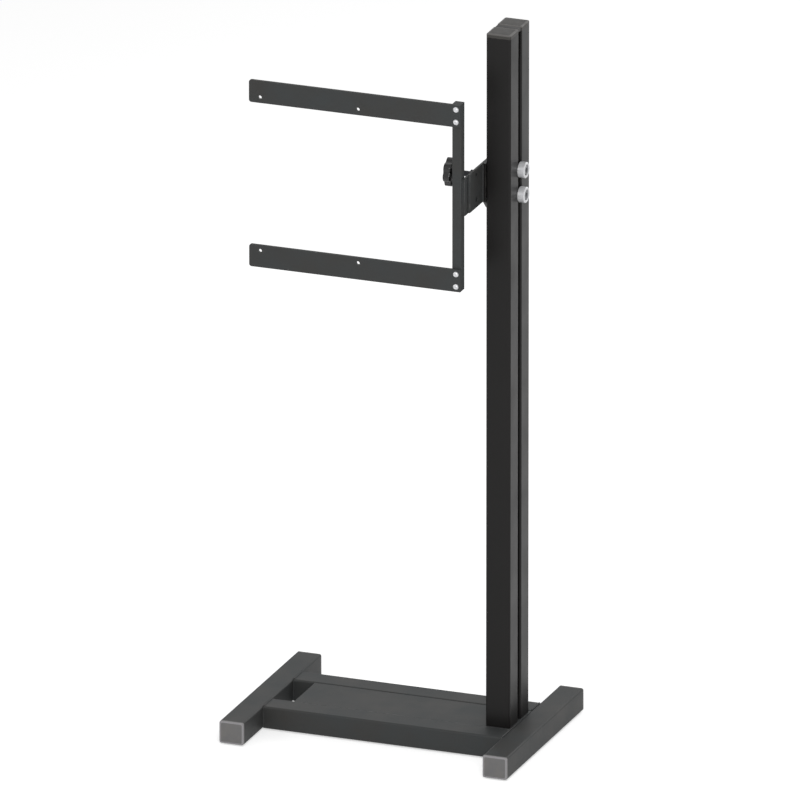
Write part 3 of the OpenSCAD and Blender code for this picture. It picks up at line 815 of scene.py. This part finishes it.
def add_button_screw(bm, head_d, head_h, shank_len, matrix):
    """A button head screw with its head towards +Z and its neck on Z = 0."""
    head_r = head_d / 2
    sphere_r = (head_r ** 2 + head_h ** 2) / (2 * head_h)
    sphere_z = head_h - sphere_r
    inner, hole = BUTTON_SOCKET / 2 + BUTTON_MOUTH, hexagon(BUTTON_SOCKET)
    dome = []
    for step in range(DOME_ROWS + 1):
        radius = inner + (head_r - inner) * step / DOME_ROWS
        dome.append((math.sqrt(sphere_r ** 2 - radius ** 2) + sphere_z, radius))
    rows = [(head_h - BUTTON_DEPTH, hole), (dome[0][0] - BUTTON_LIP, hole)] + dome
    rows += [(0, head_r - BUTTON_CHAMFER), (0, BUTTON_SHANK_R), (-shank_len, BUTTON_SHANK_R)]
    stacked(bm, rows, matrix, points=BUTTON_POINTS)


screw_low, screw_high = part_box("arm_screws")
head_d = screw_high.x - screw_low.x
screw_x = (screw_low.x + screw_high.x) / 2
bm = bmesh.new()
for arm, screw_z in (("upper_arm", screw_high.z - head_d / 2), ("lower_arm", screw_low.z + head_d / 2)):
    arm_low, arm_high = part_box(arm)
    head_h = arm_low.y - screw_low.y
    for height in (screw_z, arm_low.z + arm_high.z - screw_z):
        add_button_screw(bm, head_d / MM, head_h / MM, (screw_high.y - arm_low.y) / MM,
                         Matrix.Translation((screw_x, arm_low.y, height)) @ TO_FRONT)
bmesh.ops.recalc_face_normals(bm, faces=bm.faces)
make_piece("arm_screws_cut", bm, zinc, "arm_screws")

# %% [markdown]
# The knob that locks the tilt is a moulded handwheel with seven lobes. A cosine wave round the axis
# makes the lobes, raised to a power so that the hollows are narrower than the lobes. At both faces the
# rim draws back along a quarter circle, which gives the fat round rim of a moulding.

# %% Lobes and rim
LOBES, HOLLOW_MM, SHARPNESS = 7, 3.5, 1.6
RIM_MM, RIM_ROWS = 4, 5


def lobed(radius):
    """A lobed outline with a given radius over its lobes."""
    return lambda angle: radius - HOLLOW_MM * ((1 + math.cos(LOBES * angle)) / 2) ** SHARPNESS


def rim_curve(number):
    """How far a row of the rim lies behind its face, and inside its full radius."""
    turn = math.pi / 2 * number / RIM_ROWS
    return RIM_MM * (1 - math.sin(turn)), RIM_MM * (1 - math.cos(turn))


print(LOBES, "lobes with hollows", HOLLOW_MM, "mm deep")

# %% [markdown]
# From back to front the knob has a seat for the sleeve, a flat back, the lobed rim, and a raised hub
# that holds the metal cap. It is one tube of rings, open along the stud that it turns on.

# %% Knob from back to front
STUD_R, SEAT_R, SEAT_DEPTH, SEAT_CHAMFER = 4.05, 7.1, 3.1, 0.4
SEAT_RAMP, BACK_R, BACK_STEP, HUB_H = 0.3, 12, 0.2, 3
FRONT_ROWS = ((3, 14.5), (2.6, 12.6), (0.8, 12), (0, 11.2))

knob_low, knob_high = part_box("lock_knob")
knob_len = (knob_high.x - knob_low.x) / MM
knob_r = (knob_high.z - knob_low.z) / 2 / MM
wheel = knob_len - HUB_H
rows = [(SEAT_DEPTH, STUD_R), (SEAT_DEPTH, SEAT_R), (BACK_STEP + SEAT_RAMP, SEAT_R),
        (BACK_STEP, SEAT_R + SEAT_CHAMFER), (BACK_STEP, BACK_R)]
for number in range(RIM_ROWS + 1):
    behind, inside = rim_curve(number)[0], rim_curve(RIM_ROWS - number)[1]
    rows.append((behind, lobed(knob_r - inside)))
for number in range(RIM_ROWS + 1):
    behind, inside = rim_curve(number)
    rows.append((wheel - behind, lobed(knob_r - inside)))
rows += [(knob_len - behind, radius) for behind, radius in FRONT_ROWS] + [(knob_len, STUD_R)]
bm = bmesh.new()
stacked(bm, rows, Matrix.Translation(axis_point("lock_stud", knob_low.x)) @ TO_RIGHT, tube=True)
close_up(bm)
make_piece("lock_knob_moulded", bm, phenolic, "lock_knob")

# %% [markdown]
# Where steel is welded to steel, a bead of molten metal has run into the corner, in a row of small
# overlapping ripples. It lies under the same powder coat. A bead is a thin rod whose rings swell and
# shrink by turns, laid along the corner and half sunk in both parts.

# %% One bead
RIPPLE_STEP = 1.6 * MM
SWELL = 0.16
BEAD_POINTS, FEWEST_RIPPLES = 8, 4


def add_bead(bm, start, end, radius):
    """A rippled bead along a straight corner."""
    start, end = Vector(start), Vector(end)
    way = end - start
    count = max(FEWEST_RIPPLES, round(way.length / RIPPLE_STEP)) * 2
    turn = Vector((0, 0, 1)).rotation_difference(way).to_matrix().to_4x4()
    ring = bmesh.ops.create_circle(bm, segments=BEAD_POINTS, radius=radius,
                                   matrix=Matrix.Translation(start) @ turn)["verts"]
    edges = list({edge for vert in ring for edge in vert.link_edges})
    rims = list(edges)
    for number in range(1, count + 1):
        grown = bmesh.ops.extrude_edge_only(bm, edges=edges)["geom"]
        ring = [part for part in grown if isinstance(part, bmesh.types.BMVert)]
        inside = set(ring)
        edges = [part for part in grown if isinstance(part, bmesh.types.BMEdge)
                 and part.verts[0] in inside and part.verts[1] in inside]
        bmesh.ops.translate(bm, vec=way / count, verts=ring)
        centre = start + way * number / count
        swell = 1 + SWELL if number % 2 else 1 / (1 + SWELL)
        bmesh.ops.scale(bm, vec=(swell, swell, swell), space=Matrix.Translation(-centre), verts=ring)
    bmesh.ops.holes_fill(bm, edges=rims + edges, sides=0)


def finish_welds(name, bm, material, like):
    """Turns the beads outwards and makes them a piece that rides with a node."""
    bmesh.ops.recalc_face_normals(bm, faces=bm.faces)
    make_piece(name, bm, material, like, stands_for=False)


print("a ripple every", RIPPLE_STEP / MM, "mm")

# %% [markdown]
# The rails are welded to the feet along their sides and tops. The deck plate is thin and would warp
# under a full bead, so it is stitched to the rails from below with four short ones a side.

# %% Welds of the base
BEAD = 1.8 * MM
RAIL_INSET = 4 * MM
STITCH, STITCHES = 40 * MM, 4
foot_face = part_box("right_foot")[0].x
bm = bmesh.new()
for rail in ("front_rail", "back_rail"):
    low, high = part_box(rail)
    top = high.z - BEAD / 3
    for x in (-foot_face + BEAD / 3, foot_face - BEAD / 3):
        for y in (low.y, high.y):
            add_bead(bm, (x, y, low.z + RAIL_INSET), (x, y, high.z - RAIL_INSET), BEAD)
        add_bead(bm, (x, low.y + RAIL_INSET, top), (x, high.y - RAIL_INSET, top), BEAD)
finish_welds("rail_welds", bm, frame_coat, "front_rail")

low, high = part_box("deck_plate")
bm = bmesh.new()
for y in (low.y, high.y):
    for number in range(STITCHES):
        x = low.x + (high.x - low.x) * (number + 0.5) / STITCHES - STITCH / 2
        add_bead(bm, (x, y, low.z), (x + STITCH, y, low.z), BEAD)
finish_welds("deck_welds", bm, frame_coat, "deck_plate")

# %% [markdown]
# The plates of the carriage and of the frame are thinner, so their beads are too. Each plate has one
# upright bead on either side of its joint, short of the corners, where the arc was started and stopped.

# %% Welds of the carriage and the frame
THIN_BEAD, FINE_BEAD = 0.7 * BEAD, 0.6 * BEAD
TILT_INSET, BRACKET_INSET, SPACER_INSET = 4 * MM, 2 * MM, 1 * MM


def side_welds(name, node, x, sides, inset):
    """Two upright beads on a plate, at one X and two values of Y."""
    low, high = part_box(node)
    bm = bmesh.new()
    for y in sides:
        add_bead(bm, (x, y, low.z + inset), (x, y, high.z - inset), THIN_BEAD)
    finish_welds(name, bm, frame_coat, node)


tilt_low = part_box("tilt_plate")[0]
side_welds("tilt_plate_welds", "tilt_plate", tilt_low.x,
           (tilt_low.y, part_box("frame_bar")[1].y), TILT_INSET)
bracket_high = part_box("bracket_plate")[1]
side_welds("bracket_welds", "bracket_plate", bracket_high.x,
           (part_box("mount_plate")[0].y, bracket_high.y), BRACKET_INSET)

# %% [markdown]
# The blocks that hold the slot open are welded to both uprights with the finest beads, which lie deep
# in the slot and stop at the tops of the tubes, under the caps.

# %% Welds of the spacers
bm = bmesh.new()
for spacer in ("bottom_spacer", "top_spacer"):
    low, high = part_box(spacer)
    top = min(high.z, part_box("front_upright")[1].z)
    for x in (low.x, high.x):
        for y in (low.y, high.y):
            add_bead(bm, (x, y, low.z + SPACER_INSET), (x, y, top - SPACER_INSET), FINE_BEAD)
finish_welds("spacer_welds", bm, column_coat, "top_spacer")

# %% [markdown]
# Four bolts hold the column from below the deck plate, and threaded plugs take them inside the uprights.
# Their construction shapes are already right, so the bolts and washers only get rounded edges, and the
# hidden plugs and the locking stud keep their own mesh and get a metal finish.

# %% Hidden fasteners
FASTENER_EDGE = 0.3 * MM
for node in ("column_bolts", "column_washers"):
    rounded_steel(node, FASTENER_EDGE, zinc)
for node, finish in (("front_upright_plug", sawn_steel), ("back_upright_plug", sawn_steel),
                     ("lock_stud", black_oxide)):
    nodes[node].material_slots[0].material = finish
    print(node, "is", finish.name)

# %% [markdown]
# The last cell takes the box of the dressed stand, leaving out the floor.

# %% Sizes and finish
low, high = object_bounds()
